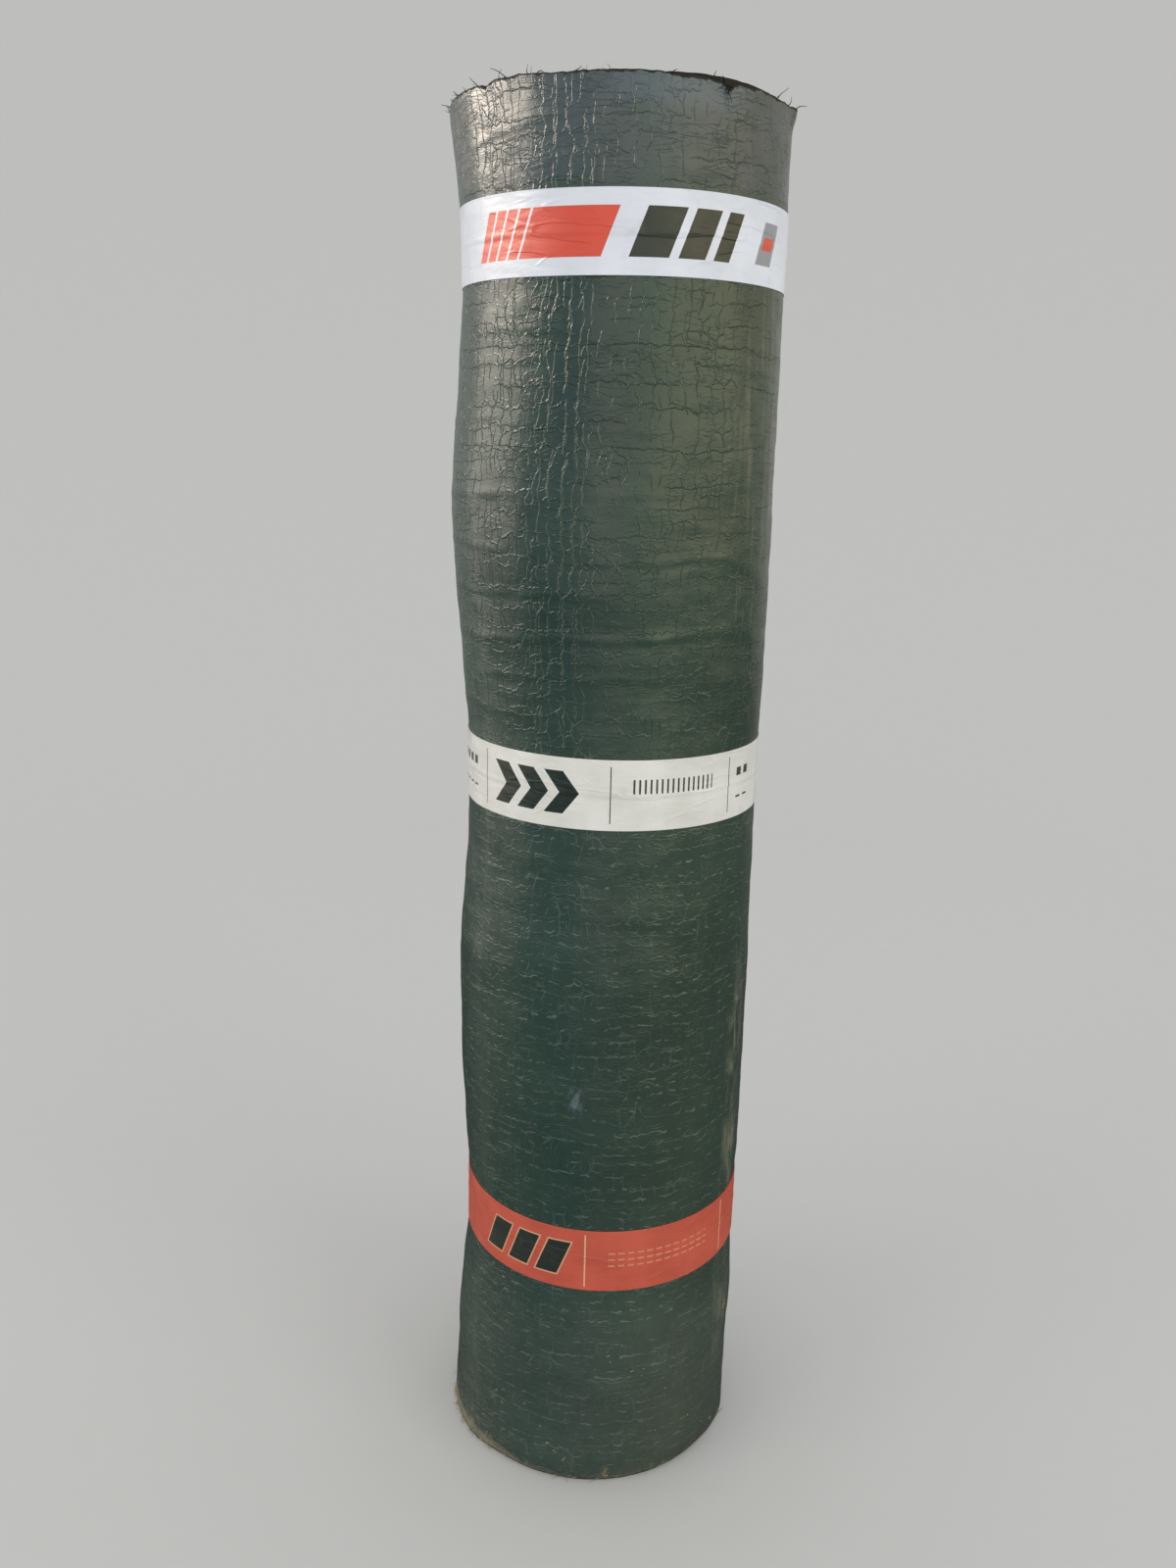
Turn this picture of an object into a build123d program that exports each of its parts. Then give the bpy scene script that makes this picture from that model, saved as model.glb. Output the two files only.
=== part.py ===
from build123d import *
import os
from math import acos, cos, floor, pi, sin

# Roll of roofing felt, standing on its end and held shut by three bands of tape.
# Millimetres, +Z up along the winding axis, origin at the middle of the foot.
#
# The sheet is wound in half turns about two centres, a quarter of the pitch to either
# side of the axis, so that each half turn lies half a pitch outside the one before it.
# The outside is therefore a spiral, with a step where the sheet ends.

# Sheet
sheet_width = 1000.0
felt_thickness = 4.5
turn_gap = 0.5  # air and loose film between two turns
edge_wear = 0.2  # how far the sheet's cut edge is worn back from each corner
edge_joint_depth = 3.0  # how deep the open joint between two turns is at an end

# Winding
roll_radius = 111.0  # outside, where the sheet lies tight
bore_radius = 45.0
free_end_turn = 65.0  # degrees from the back, towards the left, to the sheet's free end

# How far the outer turns stand out from roll_radius, or are pulled in under the tape
foot_flare = 3.3
foot_belly = 1.8
bottom_pinch = 2.0
lower_bulge = 1.3
middle_pinch = 2.5
upper_bulge = 3.4
top_pinch = 0.6
top_flare = 3.2

# Tape
tape_width = 50.0
tape_thickness = 0.25
bottom_band_height = 198.0  # middle of the tape above the foot
middle_band_height = 559.0
top_band_drop = 87.5  # middle of the tape below the top rim

turn_pitch = felt_thickness + turn_gap
centre_shift = turn_pitch / 4
half_turn_growth = turn_pitch / 2
joint_mouth = turn_gap + 2 * edge_wear
top_band_height = sheet_width - top_band_drop

# The tight half of the outside is this much smaller than the mean of both halves
tight_radius = roll_radius - half_turn_growth / 2
bottom_seat_radius = tight_radius - bottom_pinch
middle_seat_radius = tight_radius - middle_pinch
top_seat_radius = tight_radius - top_pinch
foot_radius = tight_radius + foot_flare
rim_radius = tight_radius + top_flare


def tape_seat(height, seat_radius):
    """The straight stretch of the outside that a band covers."""
    low = (seat_radius, 0, height - tape_width / 2)
    high = (seat_radius, 0, height + tape_width / 2)
    return Line(low, high)


def bowed(low, high, stand_out):
    """Loose outer turns bowing out between low and high, most at half height."""
    middle = (tight_radius + stand_out, 0, (low.Z + high.Z) / 2)
    return ThreePointArc(low, middle, high)


def roll_section():
    """Half section of the roll, from its axis out to its tight half."""
    foot = Vector(foot_radius, 0, 0)
    rim = Vector(rim_radius, 0, sheet_width)
    bottom = tape_seat(bottom_band_height, bottom_seat_radius)
    middle = tape_seat(middle_band_height, middle_seat_radius)
    top = tape_seat(top_band_height, top_seat_radius)
    outside = [
        bowed(foot, bottom @ 0, foot_belly),
        bottom,
        bowed(bottom @ 1, middle @ 0, lower_bulge),
        middle,
        bowed(middle @ 1, top @ 0, upper_bulge),
        top,
        Line(top @ 1, rim),
    ]
    inside = Polyline(rim, (0, 0, sheet_width), (0, 0, 0), foot)
    return make_face([*outside, *inside.edges()])


def wider(section, growth):
    """The section moved out by growth, with the strip next to the axis filled in."""
    strip = Pos(growth / 2, 0, sheet_width / 2) * Rot(90, 0, 0) * Rectangle(growth, sheet_width)
    return Pos(growth, 0, 0) * section + strip


def wound_body():
    """The turned solid: a tight half turn on one side and the next, wider one on the other."""
    section = roll_section()
    tight_half = revolve(section, Axis.Z, 180)
    wide_half = revolve(wider(section, half_turn_growth), Axis.Z, 180)
    tight_half = Pos(0, -centre_shift) * Rot(0, 0, -90) * tight_half
    wide_half = Pos(0, centre_shift) * Rot(0, 0, 90) * wide_half
    return tight_half + wide_half


def edge_joint(outer_radius):
    """The joint between turns that shows on an end, as half turns of a vee with its mouth at z = 0.

    It starts at the sheet's free end, one sheet in from the outside, and each half turn is half a
    pitch smaller than the one before it, until only the innermost turn is left round the bore.
    """
    first_radius = outer_radius + half_turn_growth - felt_thickness - turn_gap / 2
    last_radius = bore_radius + felt_thickness + turn_gap / 2 + centre_shift
    half_turns = floor((first_radius - last_radius) / half_turn_growth)
    joint = []
    for turn in range(half_turns):
        radius = first_radius - turn * half_turn_growth
        side = 1 if turn % 2 else -1
        mouth_out = (radius + joint_mouth / 2, 0, 0)
        mouth_in = (radius - joint_mouth / 2, 0, 0)
        deepest = (radius, 0, -edge_joint_depth)
        vee = make_face(Polyline(mouth_out, mouth_in, deepest, close=True))
        joint.append(Pos(0, -side * centre_shift) * Rot(0, 0, -side * 90) * revolve(vee, Axis.Z, 180))
    return Part() + joint


def felt_roll():
    """The whole wound sheet as one solid, bored through, with its turns showing on both ends."""
    top_joint = Pos(0, 0, sheet_width) * edge_joint(rim_radius)
    foot_joint = mirror(edge_joint(foot_radius), Plane.XY)
    bore = Cylinder(bore_radius, sheet_width, align=(Align.CENTER, Align.CENTER, Align.MIN))
    return wound_body() - bore - top_joint - foot_joint


def tape_line(seat_radius):
    """The outline under a tight band, which bridges the step at the sheet's free end."""
    wide_radius = seat_radius + half_turn_growth
    step_top = (0, centre_shift + wide_radius)
    touch_angle = acos(seat_radius / (seat_radius + turn_pitch))

    def on_tight_half(angle):
        return seat_radius * sin(angle), seat_radius * cos(angle) - centre_shift

    front = on_tight_half(pi)
    return make_face(
        [
            ThreePointArc(front, (-wide_radius, centre_shift), step_top),
            Line(step_top, on_tight_half(touch_angle)),
            ThreePointArc(on_tight_half(touch_angle), on_tight_half((touch_angle + pi) / 2), front),
        ]
    )


def tape_band(height, seat_radius):
    """A closed loop of tape, laid flat on the roll's seat for it."""
    under = tape_line(seat_radius)
    ring = offset(under, amount=tape_thickness) - under
    return Pos(0, 0, height - tape_width / 2) * extrude(ring, tape_width)


pieces = {
    "felt_roll": felt_roll(),
    "top_band": tape_band(top_band_height, top_seat_radius),
    "middle_band": tape_band(middle_band_height, middle_seat_radius),
    "bottom_band": tape_band(bottom_band_height, bottom_seat_radius),
}

os.makedirs("parts", exist_ok=True)
for name, piece in pieces.items():
    export_step(Rot(0, 0, free_end_turn) * piece, f"parts/{name}.step")
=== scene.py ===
import random
from math import cos, pi, radians, sin
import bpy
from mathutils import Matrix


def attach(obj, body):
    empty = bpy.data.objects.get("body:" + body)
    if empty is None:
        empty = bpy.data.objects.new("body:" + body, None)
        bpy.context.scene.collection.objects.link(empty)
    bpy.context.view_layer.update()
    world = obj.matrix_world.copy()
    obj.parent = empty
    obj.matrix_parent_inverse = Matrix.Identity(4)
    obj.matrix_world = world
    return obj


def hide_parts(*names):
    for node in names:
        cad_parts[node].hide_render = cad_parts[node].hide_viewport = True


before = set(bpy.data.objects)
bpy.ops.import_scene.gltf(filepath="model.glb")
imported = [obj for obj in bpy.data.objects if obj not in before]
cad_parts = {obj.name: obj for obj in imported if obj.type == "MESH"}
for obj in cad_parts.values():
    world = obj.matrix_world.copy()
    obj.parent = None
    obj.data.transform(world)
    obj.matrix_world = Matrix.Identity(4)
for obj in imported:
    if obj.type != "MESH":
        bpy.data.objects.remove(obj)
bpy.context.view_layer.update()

from types import SimpleNamespace

import bmesh
import bpy
import numpy as np
from mathutils import Matrix, Vector, noise

# A roll of roofing felt on its end, wrapped in a shrunk glossy film that has crazed and dirtied.
# Metres, +Z up the winding axis, the viewer of the photograph at -Y.
# Angles run anticlockwise from +X, seen from above, so the viewer's side is at 270 degrees.
# "Turned" is how far round a place is from the sheet's free end, in degrees, whole turns included.

MM = 0.001

# The sheet and its winding
WIDTH = 1.0
THICKNESS = 4.5 * MM
PITCH = 5.0 * MM
MEAN_RADIUS = 111.0 * MM
BORE = 45.0 * MM
FREE_END = 155.0  # the angle at which the sheet ends outside
TUCK = 12.0  # degrees that the outer turn runs on under its own free end
LAST_TURNED = (MEAN_RADIUS + PITCH / 2 - THICKNESS - BORE) / PITCH * 360  # at the bore

# The sheet's cut edge, rounded over, as (drop from the rim, depth from the outside) in millimetres
CUT_EDGE = ((0.35, 0.15), (0.1, 0.9), (0.0, 2.2), (0.15, 3.5), (0.5, 4.25))

# Outlines of the roll on the left and on the right, as (height, radius) in millimetres
LEFT_SIDE = (
    (0, 117.6), (25, 116.4), (60, 114.2), (95, 113.6), (135, 110.5), (170, 106.1),
    (226, 105.8), (268, 108.7), (321, 111.2), (385, 112.9), (425, 112.0), (457, 108.6),
    (492, 106.4), (530, 105.8), (588, 105.9), (628, 109.4), (692, 114.8), (724, 117.1),
    (754, 117.8), (775, 116.2), (814, 113.5), (853, 111.3), (884, 109.2), (912, 109.5),
    (937, 110.6), (947, 112.4), (973, 114.9), (1000, 118.0),
)
RIGHT_SIDE = (
    (0, 111.3), (120, 111.8), (168, 111.2), (228, 111.2), (280, 112.4), (340, 112.2),
    (450, 111.4), (530, 110.5), (588, 110.5), (640, 111.1), (780, 111.2), (884, 110.5),
    (940, 110.4), (1000, 110.2),
)
CORNER_LENGTH = 18  # millimetres of height over which the outlines' corners are rounded off

# The edge at the foot is crushed in along the front: from the first angle, fully from the second to
# the third, and no more from the fourth
CRUSH = 4.5 * MM
CRUSH_HEIGHT = 18 * MM
CRUSH_ANGLES = (208, 236, 318, 350)

# The film's free end lifts off the turn under it
LIFT = 2.2 * MM
LIFT_LENGTH = 26  # degrees

# The three bands of tape, as (middle height, width)
TOP_TAPE = (0.9125, 0.0495)
MIDDLE_TAPE = (0.559, 0.0495)
BOTTOM_TAPE = (0.198, 0.0505)
TAPES = (TOP_TAPE, MIDDLE_TAPE, BOTTOM_TAPE)
TAPE_THICKNESS = 0.25 * MM
TAPE_LAP = (60.0, 76.0)  # degrees, where each tape's end lies over its start, behind
TAPE_BRIDGE = 17  # degrees over which a tape runs straight, clear of the step at the free end

# Creases that run round the film, as (middle, half length, height, climb, ridge, half width):
# degrees, degrees, metres, metres over the length, millimetres high, millimetres
CREASES = (
    (258, 76, 0.664, 0.012, 0.9, 2.6),
    (236, 44, 0.857, -0.004, 0.8, 2.2),
    (318, 40, 0.850, -0.012, 0.9, 2.4),
    (322, 30, 0.836, -0.010, 0.8, 2.2),
    (222, 30, 0.838, 0.003, 0.6, 2.2),
    (206, 26, 0.803, 0.002, 0.8, 2.4),
    (262, 30, 0.797, -0.004, 0.5, 2.2),
    (214, 32, 0.755, 0.004, 0.8, 2.6),
    (276, 26, 0.757, 0.002, 0.5, 2.2),
    (208, 28, 0.722, -0.003, 0.7, 2.4),
    (286, 34, 0.716, 0.004, 0.6, 2.4),
    (228, 46, 0.692, 0.004, 0.7, 2.4),
    (252, 52, 0.638, 0.006, 0.6, 2.6),
    (244, 60, 0.612, 0.004, 0.5, 2.6),
    (40, 50, 0.690, -0.010, 0.8, 2.6),
    (62, 44, 0.812, 0.006, 0.8, 2.6),
    (100, 40, 0.742, 0.004, 0.9, 2.8),
    (20, 40, 0.774, 0.006, 0.6, 2.4),
    (118, 30, 0.662, -0.006, 0.8, 2.6),
    (84, 52, 0.628, 0.006, 0.6, 2.6),
    (240, 60, 0.470, -0.004, 0.5, 3.0),
    (60, 70, 0.455, 0.006, 0.6, 3.4),
    (270, 70, 0.300, 0.006, 0.4, 3.4),
    (90, 60, 0.330, -0.006, 0.5, 3.4),
    (230, 30, 0.972, 0.018, 0.7, 2.2),
    (252, 26, 0.955, 0.010, 0.6, 2.2),
    (300, 36, 0.962, -0.004, 0.5, 2.4),
    (50, 60, 0.965, 0.008, 0.6, 2.4),
)

# Notches worn or torn into the top rim, as (degrees, half width in degrees, depth in millimetres)
RIM_NOTCHES = ((186, 9, 2.4), (222, 1.6, 3.0), (302, 3, 1.4), (78, 5, 2.0))
WORN_ANGLES = (276, 300, 340, 356)  # where the rim is worn down a little

# The torn corner of the rim that stands out, in the same measures
FLAP = (345, 4, 3.4)

# Long hairs at the top rim, as (degrees, way, length in millimetres)
LONG_HAIRS = (
    (231, (-0.9, -0.2, 0.5), 6.75), (233, (0.8, -0.3, 0.3), 6), (242, (0.9, 0.0, 0.9), 6.75),
    (239, (-0.5, -0.3, 0.7), 4.5), (187, (-0.6, -0.4, 0.6), 6), (191, (-0.8, -0.2, 0.5), 5.25),
    (195, (0.1, -0.7, 0.6), 5.25), (204, (-0.6, -0.6, 0.4), 4.5), (218, (-0.8, -0.3, 0.5), 5.25),
    (254, (0.9, 0.2, 0.4), 4.5), (283, (0.8, -0.2, 0.5), 4.5), (296, (0.7, -0.2, 0.5), 5.25),
    (327, (0.6, -0.3, 0.5), 5.25), (338, (0.7, -0.5, 0.5), 4.5), (344, (0.7, -0.3, 0.5), 5.25),
)

# Bits of straw stuck to the film, as (degrees, height, slant, length) in degrees and millimetres
STUCK_BITS = (
    (275.5, 117, 0.6, 2.4), (276.5, 113, -1.2, 2.2), (285, 102, 0.3, 2.6), (290, 103, -0.4, 1.6),
    (252, 33, 0.2, 4.0), (255, 28, -0.7, 3.2), (259, 20, 1.5, 4.2), (242, 62, 0.4, 2.0),
    (249, 47, -0.5, 1.8), (337, 112, 2.2, 4.5), (339.5, 112, 2.6, 4.5), (228, 60, 1.4, 3.0),
    (231, 54, -0.5, 2.2), (226, 52, 0.8, 2.4), (300, 78, 0.2, 2.0), (313, 40, 0.5, 2.2),
    (322, 24, -0.6, 2.4), (330, 15, 0.5, 3.0), (219, 130, 0.7, 1.8),
)

# Places round the film, as (middle, half length, fading) in metres from the free end
LEFT_EDGE = (0.07, 0.025, 0.02)
FOOT_LEFT = (0.095, 0.03, 0.08)
# The next is by the rim on the front left, where a highlight is painted on, partly as wear
WORN_AND_HIGHLIT_RIM = (0.118, 0.022, 0.04)
CLOSE_CRACKLE = (0.172, 0.024, 0.02)
SMEAR = (0.2054, 0.001, 0.0055)
TAN_PATCH = (0.2344, 0.0008, 0.0028)
# The next is near the rim, where a bluish reflection of sky is painted on
SKY_REFLECTION_PATCH = (0.257, 0.03, 0.03)
UPPER_RIGHT = (0.345, 0.02, 0.03)
RIGHT_EDGE = (0.348, 0.006, 0.012)

# Heights over which the look of the film changes
TO_UPPER_HALF = (0.5, 0.62)  # the crackle grows stronger
ABOVE_TOP_TAPE = (0.93, 0.95)

# What the gloss shows of the surroundings, as (degrees, colour)
REFLECTED = (
    (8, (1.25, 1.0, 0.6)), (40, (0.7, 0.62, 0.5)), (70, (0.5, 0.5, 0.48)),
    (120, (0.45, 0.47, 0.45)), (148, (1.0, 0.95, 0.9)), (161, (5.3, 4.7, 4.2)),
    (190, (6.7, 5.9, 5.2)), (201, (0.7, 0.8, 0.85)), (246, (0.5, 0.6, 0.8)),
    (256, (1.7, 1.4, 1.35)), (276, (1.7, 1.4, 1.3)), (286, (1.4, 1.45, 1.1)),
    (310, (2.7, 2.3, 1.55)), (350, (2.6, 2.1, 1.3)),
)

# The camera of the photograph, worked out from the tapes and the roll's outline
LENS = 29.49  # millimetres, on a sensor 36 mm high
CAMERA_PLACE = (0, -0.9438, 0.7910)
PAN, TILT, LEAN = 0.944, -15.014, 1.317  # degrees


# Shared shapes

def smoothly(low, high, value):
    """0 below low, 1 above high, and an even slope between them."""
    share = np.clip((value - low) / (high - low), 0, 1)
    return share * share * (3 - 2 * share)


def hump(value, middle, spread):
    """1 at middle, and next to nothing from twice spread away on either side."""
    return np.exp(-(((value - middle) / spread) ** 2))


def within(value, start, full, fade, end):
    """1 from full to fade, and 0 up to start and from end on."""
    return smoothly(start, full, value) * (1 - smoothly(fade, end, value))


def outline(points, heights):
    """The radius at each height of an outline given by a few points, its corners rounded off."""
    fine = np.arange(-30, 1031)
    cornered = np.interp(fine, *zip(*points))
    window = np.hanning(CORNER_LENGTH + 1)
    padded = np.pad(cornered, CORNER_LENGTH // 2, "edge")
    rounded = np.convolve(padded, window / window.sum(), "valid")
    return np.interp(heights / MM, fine, rounded) * MM


def rough(degrees, heights, around, up, seed):
    """Smooth noise on the roll, with bumps about 1/around and 1/up metres across."""
    x, y = np.cos(np.radians(degrees)) * MEAN_RADIUS, np.sin(np.radians(degrees)) * MEAN_RADIUS
    places = zip(x * around + seed, y * around - seed, heights * up + 3 * seed)
    return np.array([noise.noise(Vector(p)) for p in places])


def layered(degrees, heights, *layers):
    """The sum of layers of noise, each given as (reach in millimetres, around, up, seed)."""
    return sum(
        reach * MM * rough(degrees, heights, around, up, seed) for reach, around, up, seed in layers
    )


def spiral(turned):
    """How far the outside stands from the mean radius."""
    return PITCH * (0.5 - turned / 360)


def loose(heights):
    """1 where the film hangs free, 0 under a tape."""
    free = np.ones_like(heights)
    for middle, width in TAPES:
        free *= smoothly(width / 2 - 1 * MM, width / 2 + 16 * MM, np.abs(heights - middle))
    return free


def roll_radius(turned, heights):
    """The radius of the outside without its creases; at the foot only the left spreads."""
    angle = np.radians(FREE_END + turned)
    left = ((1 - np.cos(angle)) / 2) ** (1 + 2 * smoothly(0.13, 0.02, heights))
    left_radius = outline(LEFT_SIDE, heights) - spiral(180 - FREE_END)
    right_radius = outline(RIGHT_SIDE, heights) - spiral(360 - FREE_END)
    return left * left_radius + (1 - left) * right_radius + spiral(turned)


def foot_tuck(turned, heights):
    """How far the edge at the foot is crushed in, evenly less from turn to turn."""
    degrees = (FREE_END + turned) % 360
    share = np.clip((LAST_TURNED - turned) / (LAST_TURNED - 360), 0, 1)
    share *= np.clip(1 - heights / CRUSH_HEIGHT, 0, 1) ** 1.6
    return CRUSH * share * within(degrees, *CRUSH_ANGLES)


def creased(turned, heights):
    """How far the film stands out from roll_radius."""
    degrees = FREE_END + turned
    stand = layered(degrees, heights, (1.1, 9, 12, 0), (0.7, 26, 34, 5), (0.35, 60, 95, 11))
    wobble = layered(degrees, heights, (2.5, 30, 4, 17), (1.2, 110, 8, 23))
    for middle, half, height, climb, ridge, width in CREASES:
        along = ((degrees - middle + 180) % 360 - 180) / half
        line = height + climb * along / 2 + wobble
        across = (heights - line) / (width * MM)
        fade = 1 - smoothly(0.6, 1.0, np.abs(along))
        stand += 0.5 * ridge * MM * fade * (hump(across, 0, 1) - 0.4 * hump(across, -1.7, 1))
    lifted = np.clip(1 - turned / LIFT_LENGTH, 0, 1) ** 2 * LIFT
    stand += lifted * (0.6 + rough(degrees, heights, 0, 9, 31))
    return stand * loose(heights)


def rim_height(turned):
    """How far the cut edge at the top stands above the sheet's width, ragged and torn in places."""
    degrees = (FREE_END + turned) % 360
    level = np.zeros_like(turned)
    ragged = layered(degrees, level, (0.9, 40, 1, 41), (0.7, 190, 1, 43), (0.5, 420, 1, 47))
    for middle, half_width, depth in RIM_NOTCHES:
        ragged -= depth * MM * hump(degrees, middle, half_width)
    return ragged - 0.8 * MM * within(degrees, *WORN_ANGLES)


def torn_flap(turned, heights):
    """How far the torn corner of the rim stands out on the right."""
    middle, half_width, reach = FLAP
    there = hump((FREE_END + turned) % 360, middle, half_width) * smoothly(0.984, 1.0, heights)
    return reach * MM * there


# Meshes

def wound_sheet(turned, profile):
    """A flat grid with a column for each turned and a row for each point of profile. Gives the
    bmesh, and for its vertices their turned and the two measures of their point."""
    bm = bmesh.new()
    last_column, last_row = len(turned) - 1, len(profile) - 1
    bmesh.ops.create_grid(bm, x_segments=last_column, y_segments=last_row, size=1)
    column = np.array([round((v.co.x + 1) / 2 * last_column) for v in bm.verts])
    row = np.array([round((v.co.y + 1) / 2 * last_row) for v in bm.verts])
    return bm, turned[column], profile[row, 0], profile[row, 1]


def wind(bm, turned, radius, heights, map_up):
    """Moves a flat sheet's vertices on to the roll, with its own UV map in metres."""
    sheet_map = bm.loops.layers.uv.new("sheet")
    map_around = np.radians(turned) * MEAN_RADIUS
    bm.verts.index_update()
    for face in bm.faces:
        for corner in face.loops:
            i = corner.vert.index
            corner[sheet_map].uv = (map_around[i], map_up[i])
    angle = np.radians(FREE_END + turned)
    for v, x, y, z in zip(bm.verts, radius * np.cos(angle), radius * np.sin(angle), heights):
        v.co = (x, y, z)


def over_edges(heights, depth):
    """The height in the sheet's map, which runs on over both cut edges and along the inside."""
    return np.where(heights > WIDTH / 2, heights + depth, heights - depth)


def close_ends(bm):
    """Welds the section's loop shut and fills in the two cut ends of the strip."""
    bmesh.ops.remove_doubles(bm, verts=bm.verts, dist=1e-6)
    rims = [e for e in bm.edges if e.is_boundary]
    made = bmesh.ops.edgeloop_fill(bm, edges=rims)
    for face in made["faces"]:
        face.smooth = False
    return made["faces"]


def finish_piece(name, bm, materials, slot, *nodes):
    """Makes a piece of a bmesh, and rides it on the roll in place of its CAD nodes."""
    bmesh.ops.recalc_face_normals(bm, faces=bm.faces)
    mesh = bpy.data.meshes.new(name)
    bm.to_mesh(mesh)
    bm.free()
    for material in materials:
        mesh.materials.append(material)
    piece = bpy.data.objects.new(name, mesh)
    bpy.context.scene.collection.objects.link(piece)
    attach(piece, "root")
    if nodes:
        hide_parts(*nodes)


def section_loop(outer, inner, low, high):
    """Points round the sheet's section as (height, depth), with rows at the heights in outer and
    inner: from half way up the inside down, under, up the outside and back over the cut edge."""
    top = [(high - drop * MM, depth * MM) for drop, depth in CUT_EDGE]
    foot = [(low + drop * MM, depth * MM) for drop, depth in CUT_EDGE]
    inside_up = [(z, THICKNESS) for z in inner]
    half = len(inside_up) // 2
    loop = inside_up[half::-1] + foot[::-1] + [(z, 0.0) for z in outer] + top
    return np.array(loop + inside_up[:half - 1:-1])


def skin_levels():
    """Heights of the film's rows: closest together where it is most creased."""
    zones = (
        (0.0022, 0.0192, 8), (0.0192, 0.1727, 48), (0.1727, 0.2232, 5), (0.2232, 0.5342, 90),
        (0.5342, 0.5838, 5), (0.5838, 0.8877, 134), (0.8877, 0.9373, 5), (0.9373, 0.9970, 27),
    )
    levels = [np.linspace(low, high, rows, endpoint=False) for low, high, rows in zones]
    return [*np.concatenate(levels), 0.9978, 0.9986, 0.9990]


def inside_levels(rows):
    """Heights of the rows along the inside of the sheet."""
    return np.linspace(0.006, WIDTH - 0.006, rows)


def outer_turn(film, bitumen):
    """The outermost turn, as far as it shows, and a little way on under its own free end."""
    columns = np.concatenate([[0.0, 0.25], np.linspace(1, 360 + TUCK, 276)])
    profile = section_loop(skin_levels(), inside_levels(14), 0.0, WIDTH)
    bm, turned, heights, depth = wound_sheet(columns, profile)
    radius = roll_radius(turned, heights) + torn_flap(turned, heights)
    radius += creased(turned, heights) * smoothly(-1 * MM, 1 * MM, heights)
    radius -= depth + foot_tuck(turned, heights)
    placed = heights + smoothly(0.955, 1.0, heights) * rim_height(turned)
    wind(bm, turned, radius, placed, over_edges(heights, depth))
    for face in bm.faces:
        face.smooth = True
        corners = [v.index for v in face.verts]
        face.material_index = int(depth[corners].max() > 0.2 * MM)
    for face in close_ends(bm):
        face.material_index = 1
    finish_piece("outer_turn", bm, [film, bitumen], "felt", "felt_roll")


def coil(bm_all, start, end, columns, low, high, levels):
    """Adds to bm_all the winding from start to end, in degrees turned, between two heights."""
    profile = section_loop(levels, levels, low, high)
    bm, turned, heights, depth = wound_sheet(np.linspace(start, end, columns), profile)
    gaps = 0.35 * MM * rough(turned, turned / 360, 3, 0.7, 51) * smoothly(400, 700, turned)
    like_outside = 1 - 0.85 * smoothly(360, 1600, turned)
    radius = like_outside * roll_radius(turned, heights)
    radius += (1 - like_outside) * (MEAN_RADIUS + spiral(turned))
    radius += gaps - depth - 0.4 * MM - foot_tuck(turned, heights)
    # The turns end unevenly at the foot and at the top, where one of them peeks out by the notch
    level = turned / 360 * 0.09
    uneven = layered(turned, level, (1.5, 8, 9, 61), (0.5, 90, 60, 67), (0.4, 300, 60, 69))
    peek = hump(turned, 507, 32) * 2.7 * MM
    placed = heights + np.where(heights > WIDTH / 2, uneven + peek, np.abs(uneven))
    placed = np.where((heights > 0.1) & (heights < 0.9), heights, placed)
    wind(bm, turned, radius, placed, over_edges(heights, depth))
    for face in bm.faces:
        face.smooth = True
        shallowest = min(depth[v.index] for v in face.verts)
        face.material_index = int(shallowest > THICKNESS - 0.01 * MM)
    close_ends(bm)
    stretch = bpy.data.meshes.new("stretch")
    bm.to_mesh(stretch)
    bm.free()
    bm_all.from_mesh(stretch)
    bpy.data.meshes.remove(stretch)


def inner_turns(bitumen, talc):
    """The rest of the winding: whole turns next to the film and at the bore, cut edges between."""
    hidden_from, hidden_to = 740, LAST_TURNED - 380
    levels = inside_levels(20)
    bm = bmesh.new()
    coil(bm, 360 + TUCK, hidden_from, 124, 0.0, WIDTH, levels)
    coil(bm, hidden_from, hidden_to, 900, 0.990, WIDTH, [0.9915, 0.997])
    coil(bm, hidden_from, hidden_to, 900, 0.0, 0.010, [0.003, 0.0085])
    coil(bm, hidden_to, LAST_TURNED, 90, 0.0, WIDTH, levels)
    finish_piece("inner_turns", bm, [bitumen, talc], "felt")


# Frays and straw

def out_and_round(degrees):
    """The directions out from the axis and round it at an angle."""
    out = Vector((cos(radians(degrees)), sin(radians(degrees)), 0))
    return out, Vector((-out.y, out.x, 0))


def strand(curve, points, radius):
    """Adds one tapering fibre to a curve."""
    spline = curve.splines.new("NURBS")
    spline.points.add(len(points) - 1)
    for i, (place, point) in enumerate(zip(points, spline.points)):
        point.co = (*place, 1)
        point.radius = radius * (1 - 0.75 * i / len(points))
    spline.order_u = 3
    spline.use_endpoint_u = True
    spline.resolution_u = 3


def stray(root, way, length, bend):
    """Points of a fibre that sets off from root and wanders."""
    points, step = [Vector(root)], Vector(way).normalized() * length / 4
    for _ in range(4):
        points.append(points[-1] + step)
        step = step + Vector([random.uniform(-bend, bend) for _ in range(3)]) * length / 4
    return points


def fibres(name, bunch, material):
    """A piece made of many fibres, each given as its points and its radius."""
    curve = bpy.data.curves.new(name, "CURVE")
    curve.dimensions = "3D"
    curve.bevel_depth = 1.0
    curve.bevel_resolution = 0
    curve.use_fill_caps = True
    for points, radius in bunch:
        strand(curve, points, radius)
    holder = bpy.data.objects.new(name + "_line", curve)
    bpy.context.scene.collection.objects.link(holder)
    bpy.context.view_layer.update()
    bm = bmesh.new()
    bm.from_mesh(bpy.data.meshes.new_from_object(holder))
    bpy.data.objects.remove(holder)
    finish_piece(name, bm, [material], "felt")


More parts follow.
